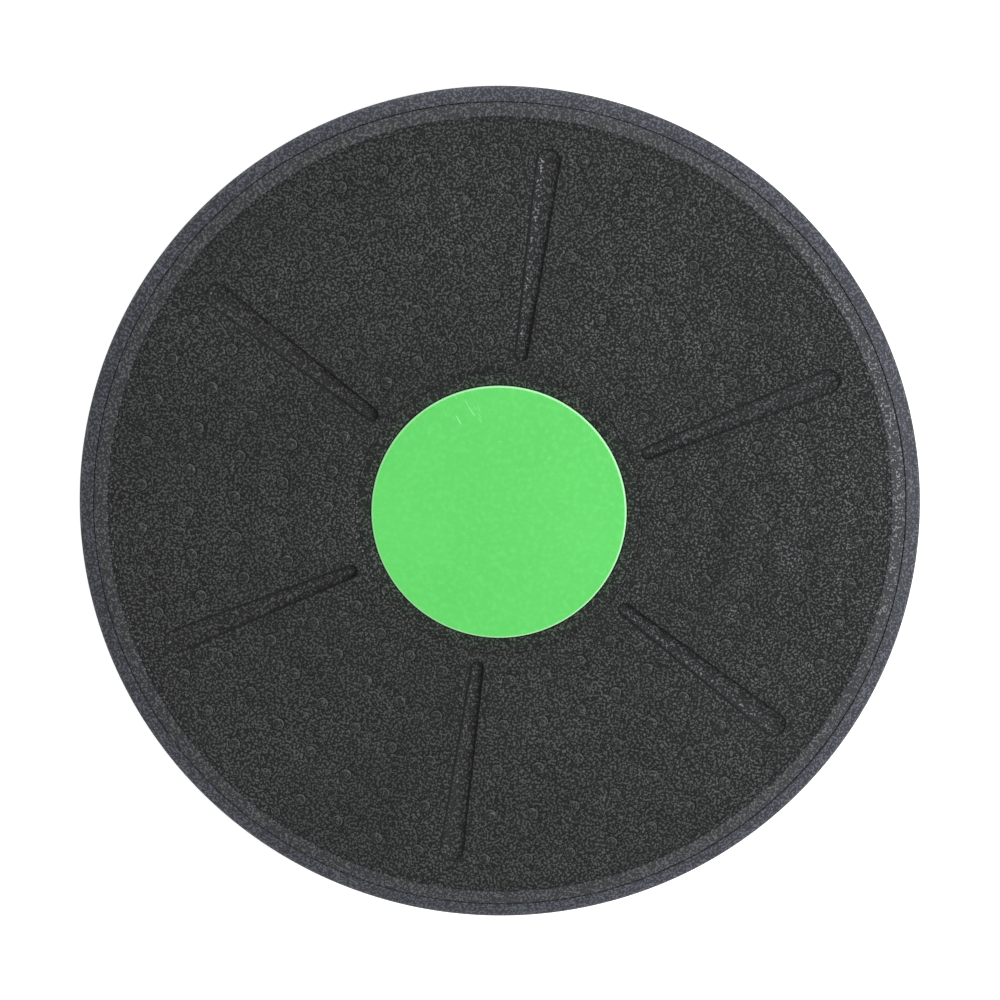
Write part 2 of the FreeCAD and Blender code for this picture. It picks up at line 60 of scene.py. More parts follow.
class Shell:
    """Collects points and faces and turns them into one smooth-shaded object."""

    def __init__(self):
        self.points = []
        self.faces = []

    def loop(self, points):
        """Adds a row of points and returns their indices."""
        start = len(self.points)
        self.points += [Vector(p) for p in points]
        return list(range(start, len(self.points)))

    def circle(self, middle, radius, height, segments):
        """Adds a level circle, or a single point if it has next to no radius."""
        x, y = middle
        if radius < 1e-6:
            return self.loop([(x, y, height)])
        turns = [math.tau * i / segments for i in range(segments)]
        return self.loop([(x + radius * math.cos(t), y + radius * math.sin(t), height) for t in turns])

    def bridge(self, a, b):
        """Joins two closed loops of the same length, or a loop and a single point."""
        count = max(len(a), len(b))
        for i in range(count):
            j = (i + 1) % count
            if len(a) == 1:
                self.faces.append((a[0], b[j], b[i]))
            elif len(b) == 1:
                self.faces.append((a[i], a[j], b[0]))
            else:
                self.faces.append((a[i], a[j], b[j], b[i]))

    def bridges(self, loops):
        for a, b in zip(loops, loops[1:]):
            self.bridge(a, b)

    def spin(self, profile, segments=SEGMENTS, middle=(0, 0), first=None, last=None):
        """Turns an (r, z) profile round +Z. An end can be a loop that is already there."""
        loops = [first] if first else []
        loops += [self.circle(middle, r, z, segments) for r, z in profile]
        if last:
            loops.append(last)
        self.bridges(loops)
        return loops

    def spin_closed(self, profile):
        """Turns a closed (r, z) profile round +Z."""
        loops = self.spin(profile)
        self.bridge(loops[-1], loops[0])

    def finished(self, name):
        """The object, with its normals outward and every edge over 40 degrees sharp."""
        mesh = bpy.data.meshes.new(name)
        mesh.from_pydata([p * MM for p in self.points], [], self.faces)
        work = bmesh.new()
        work.from_mesh(mesh)
        bmesh.ops.recalc_face_normals(work, faces=work.faces)
        work.to_mesh(mesh)
        work.free()
        mesh.shade_smooth()
        mesh.set_sharp_from_angle(angle=math.radians(40))
        made = bpy.data.objects.new(name, mesh)
        bpy.context.scene.collection.objects.link(made)
        return made


def rounded(corners):
    """An (r, z) outline whose corners (r, z, fillet) are replaced with curves."""
    steps, most_of_edge = 4, 0.49
    out = []
    for i, corner in enumerate(corners):
        here = Vector(corner[:2])
        fillet = corner[2] if len(corner) == 3 else 0
        if not fillet or i in (0, len(corners) - 1):
            out.append(tuple(here))
            continue
        back, ahead = Vector(corners[i - 1][:2]) - here, Vector(corners[i + 1][:2]) - here
        room = min(back.length, ahead.length) * most_of_edge
        reach = min(fillet / math.tan(back.angle(ahead) / 2), room)
        a, b = here + back.normalized() * reach, here + ahead.normalized() * reach
        for k in range(steps + 1):
            t = k / steps
            out.append(tuple(a.lerp(here, t).lerp(here.lerp(b, t), t)))
    return out


def arc(middle, radius, start, end, steps):
    """Points (r, z) along an arc between two angles in degrees."""
    angles = [math.radians(start + (end - start) * k / steps) for k in range(steps + 1)]
    return [(middle[0] + radius * math.cos(a), middle[1] + radius * math.sin(a)) for a in angles]


def below_deck(profile):
    """Turns (radius, drop below the deck) into (radius, height)."""
    return [(r, DECK_TOP - drop) for r, drop in profile]


def turned(points, angle):
    turn = Matrix.Rotation(angle, 3, "Z")
    return [turn @ Vector(p) for p in points]


def spread(radius, start=0.0):
    """One place (x, y) for each sector, the first at an angle from +X."""
    angles = [start + k * SECTOR_ANGLE for k in range(SECTORS)]
    return [(radius * math.cos(a), radius * math.sin(a)) for a in angles]


# ---------------------------------------------------------------- grooves and nubs

# The round ends of a groove: how far from the axis, and their radius.
GROOVE_OUTER, GROOVE_INNER = (150.2, 5.2), (68.4, 2.95)
OUTER_STEPS, SIDE_STEPS, INNER_STEPS = 12, 9, 8
# Each ring down into a groove: its share of the groove's width, and how far below the deck.
GROOVE_RINGS = [
    (1.1, 0.0), (1.06, 0.03), (1.02, 0.13), (0.99, 0.36), (0.95, 0.72), (0.89, 1.12), (0.8, 1.52),
    (0.69, 1.88), (0.56, 2.18), (0.42, 2.4), (0.27, 2.53), (0.12, 2.59), (0.03, 2.6),
]

# Each ring of nubs: its radius, how many nubs a sector has, and the angle between them in degrees.
NUB_RINGS = [(152.95, 8, 7.0), (132.95, 7, 7.92), (112.95, 6, 9.0), (93.0, 5, 10.5), (73.3, 4, 12.3)]
# A nub from its foot to its top: its radius, and how far above the deck.
NUB_PROFILE = [
    (3.0, 0.0), (2.88, -0.05), (2.72, -0.2), (2.55, -0.16), (2.42, 0.12), (2.26, 0.42), (2.0, 0.62),
    (1.6, 0.78), (1.1, 0.9), (0.55, 0.98), (0, 1.0),
]
NUB_SEGMENTS = 24


def slot_outline(share, depth):
    """A tapered slot along +Y, its width scaled by a share, from its outer end round to its start."""
    (far, wide), (near, narrow) = GROOVE_OUTER, GROOVE_INNER
    wide, narrow = wide * share, narrow * share
    lean = math.asin((wide - narrow) / (far - near))
    right, left = lean, math.pi - lean
    along = [k / SIDE_STEPS for k in range(1, SIDE_STEPS)]
    points = [(far, wide, right + (left - right) * k / OUTER_STEPS) for k in range(OUTER_STEPS + 1)]
    points += [(far + (near - far) * t, wide + (narrow - wide) * t, left) for t in along]
    half_turn = math.pi + 2 * lean
    points += [(near, narrow, left + half_turn * k / INNER_STEPS) for k in range(INNER_STEPS + 1)]
    points += [(near + (far - near) * t, narrow + (wide - narrow) * t, right) for t in along]
    return [(r * math.cos(a), y + r * math.sin(a), DECK_TOP - depth) for y, r, a in points]


def add_groove(shell, angle):
    """One groove's rings and floor. Returns its edge loop."""
    loops = [shell.loop(turned(slot_outline(share, depth), angle)) for share, depth in GROOVE_RINGS]
    shell.bridges(loops)
    floor = loops[-1]
    # Points k and OUTER_STEPS - k face each other across the groove, from its outer to its inner end.
    first = OUTER_STEPS // 2
    across = range(first, first - len(floor) // 2 - 1, -1)
    pairs = [(floor[k], floor[(OUTER_STEPS - k) % len(floor)]) for k in across]
    for (a, c), (b, d) in zip(pairs, pairs[1:]):
        shell.faces.append(tuple(dict.fromkeys((a, b, d, c))))
    return loops[0]


def nub_places():
    """The middle of every nub. Each sector's nubs are centred between two grooves."""
    for radius, count, step in NUB_RINGS:
        for i in range(count):
            aside = math.radians((i - (count - 1) / 2) * step)
            yield from spread(radius, math.pi / 2 + SECTOR_ANGLE / 2 + aside)


def inside_slot(point, angle):
    """True if a point of the deck's face lies in the groove at an angle."""
    (far, wide), (near, narrow) = GROOVE_OUTER, GROOVE_INNER
    local = Matrix.Rotation(-angle, 2) @ Vector(point)
    t = min(max((local.y - near) / (far - near), 0), 1)
    radius = (narrow + (wide - narrow) * t) * GROOVE_RINGS[0][0]
    return (local - Vector((0, near + (far - near) * t))).length < radius


def nearest_nub():
    """A tree that finds the nub nearest to a point."""
    places = list(nub_places())
    tree = KDTree(len(places))
    for i, (x, y) in enumerate(places):
        tree.insert((x, y, 0), i)
    tree.balance()
    return tree


def add_deck_face(shell, rims, grooves, nubs):
    """Fills the flat face between its two rims, round the grooves' and nubs' loops."""
    loops = [*rims, *grooves, *nubs]
    used = [i for loop in loops for i in loop]
    edges, start = [], 0
    for loop in loops:
        count = len(loop)
        edges += [(start + k, start + (k + 1) % count) for k in range(count)]
        start += count
    flat = [shell.points[i].xy for i in used]
    points, _, triangles, origins, _, _ = delaunay_2d_cdt(flat, edges, [], 1, 1e-7)
    shell_index = [used[o[0]] for o in origins]
    nub_tree = nearest_nub()
    nub_reach = NUB_PROFILE[0][0] - 0.02
    for triangle in triangles:
        centre = sum((points[i] for i in triangle), Vector((0, 0))) / 3
        if not PLANE_INNER < centre.length < PLANE_OUTER:
            continue
        turn = math.atan2(centre.y, centre.x) - math.pi / 2
        in_groove = inside_slot(centre, round(turn / SECTOR_ANGLE) * SECTOR_ANGLE)
        _, _, nub_distance = nub_tree.find(centre.to_3d())
        if not in_groove and nub_distance >= nub_reach:
            shell.faces.append(tuple(shell_index[i] for i in triangle))


# ---------------------------------------------------------------- deck, rim and housing

RIB_COUNT = 12
RIB_INNER, RIB_OUTER, RIB_LOW = 66.3, 168.6, 70.9
RING_RIBS = (136.0, 96.0)
BEVEL = [(168.0, 0.16), (169.4, 0.38), (170.8, 0.72), (172.0, 1.1), (172.8, 1.44)]
SHOULDER = [
    (173.5, 1.85), (173.62, 1.7), (173.85, 1.66), (174.6, 1.9), (175.8, 2.34), (177.1, 2.95),
    (178.3, 3.55), (179.2, 4.25), (179.75, 4.95), (180.0, 5.9),
]


def line_groove(radius, z, fall=0.0):
    """A fine V-shaped line in a face that falls outward."""
    half, deep, lip, lip_drop = 0.26, 0.24, 0.12, 0.05
    return [
        (radius - half - lip, z),
        (radius - half, z - lip_drop),
        (radius, z - deep),
        (radius + half, z - lip_drop - fall),
        (radius + half + lip, z - fall),
    ]


def ring_rib(radius):
    """The outline of a wall round the panel's underside, from outside it to inside it."""
    return rounded([
        (radius + 4.0, PANEL_UNDER),
        (radius + 2.2, PANEL_UNDER, 0.9),
        (radius + 1.9, RIB_LOW, 0.6),
        (radius + 0.3, RIB_LOW, 0.6),
        (radius, PANEL_UNDER, 0.9),
        (radius - 4.0, PANEL_UNDER),
    ])[1:]


def panel_profile():
    """From the deck's flat face over its bevelled edge, back underneath, and up to the face again."""
    lines = line_groove(165.35, DECK_TOP - 0.01, 0.01) + line_groove(167.0, DECK_TOP - 0.05, 0.04)
    bevel = below_deck(BEVEL)
    edge = rounded([
        bevel[-1],
        (PANEL_OUTER, DECK_TOP - 1.62, 0.3),
        (PANEL_OUTER, PANEL_UNDER),
        (RING_RIBS[0] + 4.2, PANEL_UNDER),
    ])[1:]
    under = [point for radius in RING_RIBS for point in ring_rib(radius)]
    middle = rounded([
        (RING_RIBS[1] - 4.0, PANEL_UNDER),
        (COLLAR_WALL, PANEL_UNDER),
        (COLLAR_WALL, DECK_TOP - 0.3, 0.5),
        (59.2, DECK_TOP - 0.25),
    ])
    collar = line_groove(60.15, DECK_TOP - 0.2)[1:] + line_groove(61.35, DECK_TOP - 0.05)
    return lines + bevel + edge + under + middle + collar


def add_rib(shell, angle):
    """A radial wall under the deck, with its lower edge rounded over."""
    root = PANEL_UNDER + 0.4
    outline = [(RIB_INNER, root), (RIB_INNER, RIB_LOW), (RIB_OUTER, RIB_LOW), (RIB_OUTER, root)]
    last = len(outline) - 1
    rows = []
    for side, rise in ((-1.1, 0.0), (-0.9, -0.22), (-0.55, -0.34), (0.55, -0.34), (0.9, -0.22), (1.1, 0.0)):
        row = [(r, side, z + (rise if 0 < k < last else 0)) for k, (r, z) in enumerate(outline)]
        rows.append(shell.loop(turned(row, angle)))
    shell.faces += [tuple(rows[0]), tuple(rows[-1][::-1])]
    for a, b in zip(rows, rows[1:]):
        for k in range(last):
            shell.faces.append((a[k], b[k], b[k + 1], a[k + 1]))


def make_deck():
    """The deck: its face with grooves and nubs, its panel, and the ribs under it."""
    shell = Shell()
    outer = shell.circle((0, 0), PLANE_OUTER, DECK_TOP, SEGMENTS)
    inner = shell.circle((0, 0), PLANE_INNER, DECK_TOP, SEGMENTS)
    grooves = [add_groove(shell, k * SECTOR_ANGLE) for k in range(SECTORS)]
    rise = [(r, DECK_TOP + z) for r, z in NUB_PROFILE]
    nubs = [shell.spin(rise, NUB_SEGMENTS, place)[0] for place in nub_places()]
    add_deck_face(shell, (outer, inner), grooves, nubs)
    shell.spin(panel_profile(), first=outer, last=inner)
    for k in range(RIB_COUNT):
        add_rib(shell, k * math.tau / RIB_COUNT)
    return shell.finished("deck_moulding")


def make_rim():
    """The ring round the deck, with the skirt below its shoulder and the ledge under the deck's edge."""
    skirt = rounded([
        (180.0, 72.9), (179.75, 59.0, 1.1), (176.4, 59.0, 0.9), (175.6, 73.0, 1.2), (169.5, 73.0, 0.4),
        (169.5, 75.35), (173.5, 75.35), (173.5, 76.0),
    ])
    shell = Shell()
    shell.spin_closed(below_deck(SHOULDER) + skirt[1:])
    return shell.finished("rim_band")


def make_housing():
    """The ring under the deck's middle that holds the bush and the upper race."""
    profile = rounded([
        (COLLAR_WALL, PANEL_UNDER), (66.0, PANEL_UNDER, 0.3), (66.0, 64.4, 0.5), (64.2, 64.4),
        (64.2, 66.0), (46.0, 66.0), (46.0, 71.5, 0.3), (COLLAR_WALL, 71.5, 0.3),
        (COLLAR_WALL, PANEL_UNDER),
    ])
    shell = Shell()
    shell.spin_closed(profile[:-1])
    return shell.finished("housing_ring")


# ---------------------------------------------------------------- cover, dome and hub

DOME_BALL, DOME_FLAT, DOME_TURN, DOME_SHOULDER, DOME_WALL = 75.0, 8.0, 64.0, 22.0, 3.6
DOME_CENTRE = math.sqrt(DOME_BALL ** 2 - DOME_FLAT ** 2)
DOME_RIM, BRACE_TOP = 54.0, 50.5
BRACE_HALF = 1.3


def make_cover():
    """The lid in the middle of the deck, on its pegs."""
    shell = Shell()
    under = [
        (0, 76.9), (51.2, 76.9), (51.2, 75.75), (52.1, 75.75), (52.1, 76.9), (53.6, 77.0), (54.45, 77.9),
    ]
    edge = arc((53.5, COVER_TOP - 0.95), 0.95, 0, 90, 8)
    crown = COVER_TOP + 0.02
    shell.spin(under + edge + [(52.9, COVER_TOP), (40.0, crown), (20.0, crown), (0, crown)])
    for middle in spread(PEG_CIRCLE, math.pi / 2):
        shell.spin([(0, 73.8), (1.9, 73.8), (2.4, 74.4), (2.4, 77.2)], 24, middle)
    return shell.finished("cover_lid")


def dome_profile(inset):
    """The dome's outline from its bottom to its rim, moved in by an inset."""
    ball, shoulder = DOME_BALL - inset, DOME_SHOULDER - inset
    turn = math.degrees(math.asin(DOME_TURN / DOME_BALL))
    drop = math.sqrt(DOME_BALL ** 2 - DOME_TURN ** 2)
    share = 1 - DOME_SHOULDER / DOME_BALL
    middle = (DOME_TURN * share, DOME_CENTRE - drop * share)
    start = math.degrees(math.asin(DOME_FLAT / DOME_BALL)) if inset == 0 else 0
    low = arc((0, DOME_CENTRE), ball, start - 90, turn - 90, 40)
    side = arc(middle, shoulder, turn - 90, 0, 18)[1:]
    return low + side


def add_brace(shell, angle):
    """A radial wall inside the dome, from its middle to its side."""
    low = [p for p in dome_profile(DOME_WALL / 2) if p[1] < BRACE_TOP]
    outline = low + [(low[-1][0], BRACE_TOP), (0, BRACE_TOP)]
    near = shell.loop(turned([(r, -BRACE_HALF, z) for r, z in outline], angle))
    far = shell.loop(turned([(r, BRACE_HALF, z) for r, z in outline], angle))
    shell.faces += [tuple(near), tuple(far[::-1])]
    for i in range(len(outline)):
        j = (i + 1) % len(outline)
        shell.faces.append((near[i], far[i], far[j], near[j]))


def make_dome():
    """The hollow bowl under the board, with a screw post and a brace in each sector."""
    shell = Shell()
    outside, inside = dome_profile(0), dome_profile(DOME_WALL)
    outer, inner = outside[-1][0], inside[-1][0]
    rim = rounded([(outer, 52.0), (outer, DOME_RIM, 0.5), (inner, DOME_RIM, 0.5), (inner, 52.0)])
    shell.spin([(0, 0)] + outside + rim + inside[::-1])
    for k, middle in enumerate(spread(POST_CIRCLE)):
        shell.spin([(5.2, 12.0), (5.2, DOME_RIM), (2.05, DOME_RIM), (2.05, 39.7), (0, 39.7)], 32, middle)
        add_brace(shell, k * SECTOR_ANGLE)
    return shell.finished("dome_bowl")


def make_hub():
    """The flange on the dome, with the journal and the screw posts that stand on it."""
    shell = Shell()
    shell.spin(rounded([
        (24.0, HUB_FLOOR), (24.0, DOME_RIM), (61.0, DOME_RIM), (61.0, 51.0, 0.3), (63.4, 51.0, 0.3),
        (63.4, DOME_RIM), (69.6, DOME_RIM, 0.8), (69.6, 65.8, 0.8), (67.0, 65.8, 0.6),
        (67.0, HUB_FLOOR, 0.4), (43.5, HUB_FLOOR, 0.3), (43.5, 73.1, 0.4), (40.0, 73.1, 0.4),
        (40.0, HUB_FLOOR, 0.4), (24.0, HUB_FLOOR),
    ]))
    for middle in spread(POST_CIRCLE):
        shell.spin([(5.0, 58.0), (5.0, 73.1), (2.3, 73.1), (2.3, 58.0)], 32, middle)
    return shell.finished("hub_flange")


# ---------------------------------------------------------------- materials


def opaque(colour):
    """A colour with its alpha added. A socket stays as it is."""
    return (*colour, 1.0) if isinstance(colour, tuple) else colour


class Look:
    """A procedural material under construction. It works in the object's own metres."""

    def __init__(self, name):
        self.material = bpy.data.materials.new(name)
        self.material.use_nodes = True
        self.tree = self.material.node_tree
        self.shader = self.tree.nodes["Principled BSDF"]
        self.place = self.node("ShaderNodeTexCoord").outputs["Object"]

    def node(self, kind, **settings):
        made = self.tree.nodes.new(kind)
        for key, value in settings.items():
            setattr(made, key, value)
        return made

    def link(self, source, target):
        self.tree.links.new(source, target)

    def fill(self, made, values):
        """Links or sets each of a node's named sockets, and returns the node."""
        for key, value in values.items():
            socket = made.inputs[key]
            if hasattr(value, "links"):
                self.link(value, socket)
            else:
                socket.default_value = value
        return made

    def noise(self, scale, detail=4.0, place=None):
        made = self.node("ShaderNodeTexNoise")
        values = {"Vector": place or self.place, "Scale": scale, "Detail": detail, "Roughness": 0.55}
        return self.fill(made, values).outputs["Fac"]

    def pebbles(self, scale, smooth, place):
        made = self.node("ShaderNodeTexVoronoi", feature="SMOOTH_F1")
        return self.fill(made, {"Vector": place, "Scale": scale, "Smoothness": smooth}).outputs["Distance"]

    def remap(self, value, low, high, to_low=0.0, to_high=1.0):
        made = self.node("ShaderNodeMapRange", interpolation_type="SMOOTHSTEP")
        values = {"Value": value, "From Min": low, "From Max": high, "To Min": to_low, "To Max": to_high}
        return self.fill(made, values).outputs["Result"]

    def clouds(self, scale, detail, low=0.0, high=1.0):
        """Soft patches of noise that reach from one value to another."""
        return self.remap(self.noise(scale, detail), 0.3, 0.7, low, high)

    def calculate(self, operation, a, b):
        made = self.node("ShaderNodeMath", operation=operation)
        return self.fill(made, {0: a, 1: b}).outputs[0]

    def times(self, a, b):
        return self.calculate("MULTIPLY", a, b)

    def plus(self, a, b):
        return self.calculate("ADD", a, b)

    def minus(self, a, b):
        return self.calculate("SUBTRACT", a, b)

    def larger(self, a, b):
        return self.calculate("MAXIMUM", a, b)

    def mix(self, share, a, b):
        made = self.node("ShaderNodeMix", data_type="RGBA")
        return self.fill(made, {0: share, 6: opaque(a), 7: opaque(b)}).outputs[2]

    def bump(self, height, distance, strength=1.0):
        made = self.node("ShaderNodeBump")
        self.fill(made, {"Height": height, "Distance": distance, "Strength": strength})
        return made.outputs["Normal"]

    def vector(self, operation, **values):
        """A vector calculation on sockets a, b and scale."""
        made = self.node("ShaderNodeVectorMath", operation=operation)
        sockets = {"a": 0, "b": 1, "scale": "Scale"}
        return self.fill(made, {sockets[key]: value for key, value in values.items()}).outputs

    def warped(self, amount, scale):
        """The object's own coordinates, pushed about by a noise."""
        push = self.node("ShaderNodeTexNoise")
        self.fill(push, {"Vector": self.place, "Scale": scale, "Detail": 2.0})
        centred = self.vector("SUBTRACT", a=push.outputs["Color"], b=(0.5, 0.5, 0.5))[0]
        scaled = self.vector("SCALE", a=centred, scale=amount)[0]
        return self.vector("ADD", a=self.place, b=scaled)[0]

    def stretched(self, scale, angle):
        """Coordinates turned by an angle about Z, then scaled along each of the turned axes."""
        made = self.node("ShaderNodeMapping", vector_type="TEXTURE")
        values = {"Vector": self.place, "Scale": [1 / s for s in scale], "Rotation": (0, 0, angle)}
        return self.fill(made, values).outputs["Vector"]

    def flat_place(self):
        return self.vector("MULTIPLY", a=self.place, b=(1, 1, 0))[0]

    def radius(self):
        """The distance from the turning axis."""
        return self.vector("LENGTH", a=self.flat_place())["Value"]

    def spot(self, x, y, size):
        """1 at a place on the deck, falling to 0 at a distance."""
        away = self.vector("DISTANCE", a=self.flat_place(), b=(x, y, 0))["Value"]
        return self.remap(away, size * 0.5, size, 1.0, 0.0)

    def smear(self, x, y, length, width, angle):
        """A soft streak on the deck, broken up by noise."""
        made = self.node("ShaderNodeMapping", vector_type="TEXTURE")
        self.fill(made, {"Vector": self.place, "Location": (x, y, DECK_TOP * MM)})
        self.fill(made, {"Rotation": (0, 0, angle), "Scale": (length, width, 0.002)})
        away = self.vector("LENGTH", a=made.outputs["Vector"])["Value"]
        return self.times(self.remap(away, 0.1, 1.0, 0.6, 0.0), self.remap(self.noise(180, 5), 0.35, 0.65))

    def height_of(self, vector):
        """The Z of a vector."""
        return self.fill(self.node("ShaderNodeSeparateXYZ"), {0: vector}).outputs[2]

    def facing_up(self):
        """How far the surface faces up, from -1 to 1."""
        return self.height_of(self.node("ShaderNodeNewGeometry").outputs["Normal"])

    def finish(self, **values):
        self.fill(self.shader, {key.replace("_", " "): value for key, value in values.items()})
        return self.material


def pebble_grain(look):
    """The fine worm-like grain of a textured mould, from 0 in its pits to 1 on its bumps."""
    pebble = look.pebbles(930, 0.25, look.warped(0.0009, 420))
    worm = look.noise(1050, 1.5, look.warped(0.0006, 900))
    return look.remap(look.plus(look.times(pebble, -0.75), look.times(worm, 1.25)), 0.18, 0.42)


def deck_scuffs(look):
    """Three pale worn streaks."""
    marks = look.times(look.smear(0.122, 0.0, 0.035, 0.004, -0.95), 0.8)
    marks = look.plus(marks, look.times(look.smear(0.145, -0.022, 0.02, 0.002, -0.7), 0.7))
    return look.plus(marks, look.times(look.smear(0.08, 0.09, 0.03, 0.003, 0.5), 0.3))


def deck_look():
    """Grained black plastic, with a painted sheen making the bevel paler, painted light making the grooves
    paler, and a painted green reflection of the lid beside it.
    """
    look = Look("deck_plastic")
    radius = look.radius()
    up = look.height_of(look.place)
    bevel = look.remap(radius, 0.1668, 0.1678)
    face = look.times(look.remap(radius, 0.0622, 0.0628), look.remap(radius, 0.1635, 0.1645, 1.0, 0.0))
    trough = look.times(look.remap(up, 0.0787, 0.0782), face)
    nub = look.times(look.remap(up, 0.07902, 0.07918), face)

    base = look.mix(look.clouds(14, 5), (0.0403, 0.0412, 0.0405), (0.0582, 0.059, 0.0582))
    # Painted sheen: the bevel is made paler and bluer, standing in for light and the pale studio caught on
    # its slope.
    base = look.mix(look.times(bevel, 0.75), base, (0.112, 0.113, 0.124))
    # Painted reflection: green from the lid tinges the deck round the collar.
    base = look.mix(look.remap(radius, 0.0552, 0.063, 0.6, 0.0), base, (0.03, 0.072, 0.031))
    base = look.mix(deck_scuffs(look), base, (0.13, 0.13, 0.135))
    # Painted light: the groove floors are made paler to lift them out of their shade.
    base = look.mix(trough, base, (0.066, 0.066, 0.068))

    # The grain's pits are painted nearly black, as painted shade in them. They are shallower on the bevel
    # and on the nubs.
    shallow = look.larger(look.times(bevel, 0.2), look.times(nub, 0.12))
    grain = look.larger(pebble_grain(look), shallow)
    base = look.mix(grain, look.mix(0.95, base, (0.0, 0.0, 0.0)), base)

    # The grooves' steep walls are darker than the face as painted shade, and the nubs' flanks are paler as
    # a painted highlight.
    steep_painted_shading = look.times(look.remap(look.facing_up(), 0.56, 0.9, 1.0, 0.0), face)
    steep_painted_shading = look.times(steep_painted_shading, look.remap(look.noise(260, 2), 0.3, 0.65, 0.75, 1.0))
    flank_painted_highlight = look.times(steep_painted_shading, nub)
    base = look.mix(flank_painted_highlight, base, (0.12, 0.12, 0.12))
    base = look.mix(look.minus(steep_painted_shading, flank_painted_highlight), base, (0.003, 0.003, 0.003))

    shiny = look.larger(look.larger(trough, flank_painted_highlight), look.times(bevel, 0.6))
    rough = look.minus(look.clouds(60, 4, 0.42, 0.5), look.times(shiny, 0.14))
    rough = look.plus(rough, look.remap(grain, 0.0, 1.0, 0.4, 0.0))
    normal = look.bump(look.plus(look.times(grain, 0.8), look.times(look.noise(2600, 2), 0.2)), 0.00055)
    return look.finish(Base_Color=base, Roughness=rough, Normal=normal, Specular_IOR_Level=0.5)


def rim_look():
    """Grained dark grey plastic, its blue cast a painted reflection of the pale studio and its grain's pits
    darkened as painted shade, worn along the skirt's lower edge.
    """
    look = Look("rim_plastic")
    grain = pebble_grain(look)
    # The blue in these greys is a painted reflection of the pale studio.
    base = look.mix(look.clouds(22, 5), (0.088, 0.093, 0.113), (0.106, 0.112, 0.133))
    # Painted shade: the grain's pits are darkened.
    base = look.mix(look.remap(grain, 0.0, 1.0, 0.8, 0.0), base, (0.012, 0.013, 0.016))
    low = look.remap(look.height_of(look.place), 0.0602, 0.0594)
    worn = look.times(low, look.remap(look.noise(70, 5), 0.45, 0.65))
    base = look.mix(look.times(worn, 0.6), base, (0.16, 0.16, 0.165))
    normal = look.bump(grain, 0.0003, 0.8)
    rough = look.clouds(60, 4, 0.56, 0.66)
    return look.finish(Base_Color=base, Roughness=rough, Normal=normal, Specular_IOR_Level=0.3)


def green_base(look):
    """Green plastic with a fine mottle."""
    broad = look.mix(look.clouds(18, 4), (0.094, 0.575, 0.102), (0.106, 0.61, 0.114))
    mottle = look.remap(look.noise(430, 3), 0.42, 0.72, 0.0, 0.6)
    return look.mix(mottle, broad, (0.124, 0.665, 0.133))


def cover_look():
    """Green plastic with two scratched patches, fine specks and a painted highlight along its edge."""
    look = Look("cover_green")
    base = green_base(look)
    cuts = look.remap(look.noise(1.0, 1, look.stretched((1150, 110, 60), 0.66)), 0.64, 0.7)
    faint_patch = look.times(look.spot(-0.008, 0.0446, 0.008), 0.6)
    patches = look.larger(look.spot(-0.019, 0.041, 0.011), faint_patch)
    specks = look.times(look.remap(look.noise(420, 3), 0.68, 0.76), 0.35)
    marks = look.larger(look.times(cuts, patches), specks)
    base = look.mix(look.times(marks, 0.75), base, (0.3, 0.86, 0.3))
    # Painted highlight: a pale ring round the lid's rounded edge, where light catches it.
    edge = look.remap(look.radius(), 0.0535, 0.0540)
    base = look.mix(look.times(edge, 0.8), base, (0.5, 0.88, 0.5))
    rough = look.plus(look.clouds(90, 4, 0.38, 0.46), look.times(marks, 0.12))
    normal = look.bump(look.noise(1300, 3), 0.00004, 0.5)
    return look.finish(Base_Color=base, Roughness=rough, Normal=normal)


def dome_look():
    """The same green, a little smoother on the side and rubbed dull round its lowest point."""
    look = Look("dome_green")
    radius = look.radius()
    foot = look.remap(radius, 0.012, 0.045, 1.0, 0.0)
    rubbed = look.times(foot, look.remap(look.noise(160, 5), 0.35, 0.65))
    lines = look.remap(look.noise(1.0, 2, look.stretched((70, 700, 70), 0.6)), 0.6, 0.68)
    lines = look.times(lines, look.remap(radius, 0.02, 0.06, 0.7, 0.1))
    worn = look.larger(look.times(rubbed, 0.5), lines)
    base = look.mix(look.times(worn, 0.45), green_base(look), (0.2, 0.6, 0.2))
    rough = look.plus(look.clouds(90, 4, 0.3, 0.38), look.times(worn, 0.25))
    normal = look.bump(look.noise(1300, 3), 0.00004, 0.4)
    return look.finish(Base_Color=base, Roughness=rough, Normal=normal)


def plain_look(name, dark, light, rough, metallic=0.0, grain=(1200, 0.00003)):
    """Plastic or metal with slight changes of tone and gloss. The grain is its scale and depth."""
    look = Look(name)
    scale, depth = grain
    base = look.mix(look.clouds(45, 4), dark, light)
    roughness = look.clouds(160, 4, rough - 0.05, rough + 0.05)
    normal = look.bump(look.noise(scale, 3), depth, 0.5)
    return look.finish(Base_Color=base, Roughness=roughness, Metallic=metallic, Normal=normal)


# ---------------------------------------------------------------- pieces


def dress(piece, material):
    piece.data.materials.clear()
    piece.data.materials.append(material)


deck_plastic, rim_plastic, cover_green, dome_green = deck_look(), rim_look(), cover_look(), dome_look()
hub_plastic = plain_look("hub_plastic", (0.02, 0.02, 0.021), (0.03, 0.03, 0.032), 0.42)
bush_plastic = plain_look("bush_plastic", (0.72, 0.71, 0.66), (0.8, 0.79, 0.74), 0.35)
cage_plastic = plain_look("cage_plastic", (0.66, 0.63, 0.55), (0.74, 0.71, 0.62), 0.4)
race_steel = plain_look("race_steel", (0.5, 0.51, 0.53), (0.58, 0.59, 0.61), 0.28, 1.0)
ball_steel = plain_look("ball_steel", (0.72, 0.73, 0.75), (0.78, 0.79, 0.81), 0.1, 1.0, (900, 0.000005))
zinc_steel = plain_look("zinc_steel", (0.5, 0.5, 0.47), (0.62, 0.61, 0.56), 0.33, 1.0)

